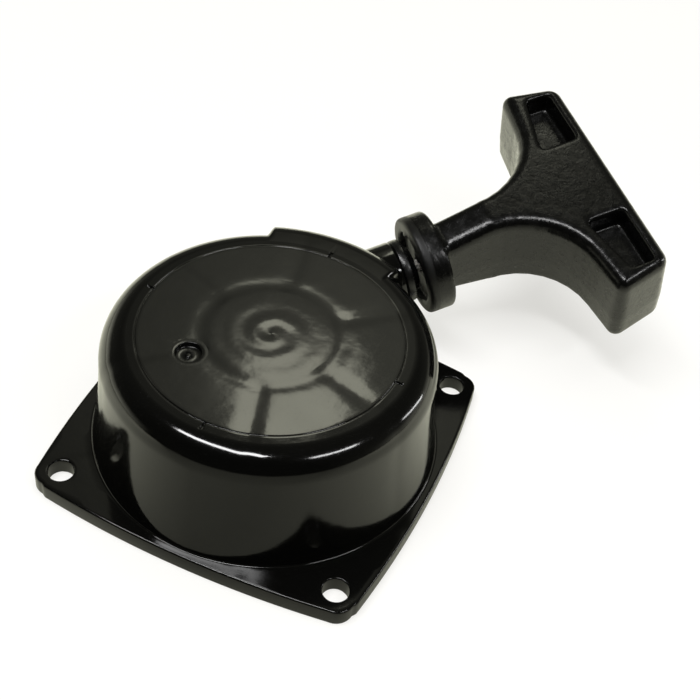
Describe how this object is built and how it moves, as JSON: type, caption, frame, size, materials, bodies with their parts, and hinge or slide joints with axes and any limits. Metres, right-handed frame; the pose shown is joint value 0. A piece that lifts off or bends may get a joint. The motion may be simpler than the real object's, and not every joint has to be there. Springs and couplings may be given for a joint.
{
  "type": "recoil starter",
  "caption": "Pull-cord recoil starter for a small engine: square-flanged drum housing with a sprung rope reel, two pawls and a T handle.",
  "frame": {"origin": "centre of the four mounting holes on the flange's mounting face, on the crank axis", "axes": "+Z out of the drum away from the engine, +X and +Y along the flange's sides; the rope leaves between +X and +Y"},
  "size_m": [0.1165, 0.1521, 0.0515],
  "materials": {
    "housing_plastic": "glossy black injection-moulded plastic",
    "guide_plastic": "satin black plastic",
    "handle_plastic": "satin black plastic with a mottled skin",
    "reel_plastic": "dark grey moulded nylon",
    "sheet_steel": "dull zinc-coated sheet steel",
    "spring_steel": "blued spring steel",
    "plain_steel": "ground steel",
    "zinc_steel": "bright zinc-plated steel",
    "pawl_steel": "stamped hardened steel",
    "bush_brass": "sintered bronze",
    "rope_fibre": "braided off-white nylon rope"
  },
  "bodies": {
    "housing": {"housing": "housing_plastic", "rope_guide": "guide_plastic", "spring_case": "sheet_steel", "recoil_spring": "spring_steel", "spring_cover": "sheet_steel", "axle_sleeve": "plain_steel", "retainer_washer": "zinc_steel", "centre_screw": "zinc_steel"},
    "reel": {"reel": "reel_plastic", "reel_bush": "bush_brass", "rope_coil": "rope_fibre", "reel_knot": "rope_fibre", "pawl_pin_1": "plain_steel", "pawl_pin_2": "plain_steel", "pin_clip_1": "spring_steel", "pin_clip_2": "spring_steel", "pawl_spring_1": "spring_steel", "pawl_spring_2": "spring_steel", "friction_spring": "spring_steel"},
    "friction_plate": {"friction_plate": "zinc_steel"},
    "pawl_1": {"pawl_1": "pawl_steel"},
    "pawl_2": {"pawl_2": "pawl_steel"},
    "handle": {"handle": "handle_plastic", "knot_washer": "zinc_steel", "handle_knot": "rope_fibre", "rope_lead": "rope_fibre"}
  },
  "joints": [
    {"name": "handle_pull", "type": "slide", "parent": "housing", "child": "handle", "axis": [0.689, 0.689, 0.225], "range_m": [0, 0.7], "stiffness_N_per_m": 20, "springref_m": -0.4, "deforming": ["rope_lead"]},
    {"name": "reel_spin", "type": "hinge", "parent": "housing", "child": "reel", "pos_m": [0, 0, 0.0192], "axis": [0, 0, 1], "range_deg": [-1900, 0], "deforming": ["recoil_spring"]},
    {"name": "plate_turn", "type": "hinge", "parent": "reel", "child": "friction_plate", "pos_m": [0, 0, 0.0085], "axis": [0, 0, 1], "range_deg": [0, 20]},
    {"name": "pawl_1_swing", "type": "hinge", "parent": "reel", "child": "pawl_1", "pos_m": [-0.01597, -0.00581, 0.0115], "axis": [0, 0, 1], "range_deg": [0, 28]},
    {"name": "pawl_2_swing", "type": "hinge", "parent": "reel", "child": "pawl_2", "pos_m": [0.01597, 0.00581, 0.0115], "axis": [0, 0, 1], "range_deg": [0, 28]}
  ],
  "couplings": [
    {"joint": "reel_spin", "follows": "handle_pull", "rad_per_m": -47.17},
    {"joint": "pawl_1_swing", "follows": "plate_turn", "ratio": 1.4},
    {"joint": "pawl_2_swing", "follows": "plate_turn", "ratio": 1.4}
  ]
}
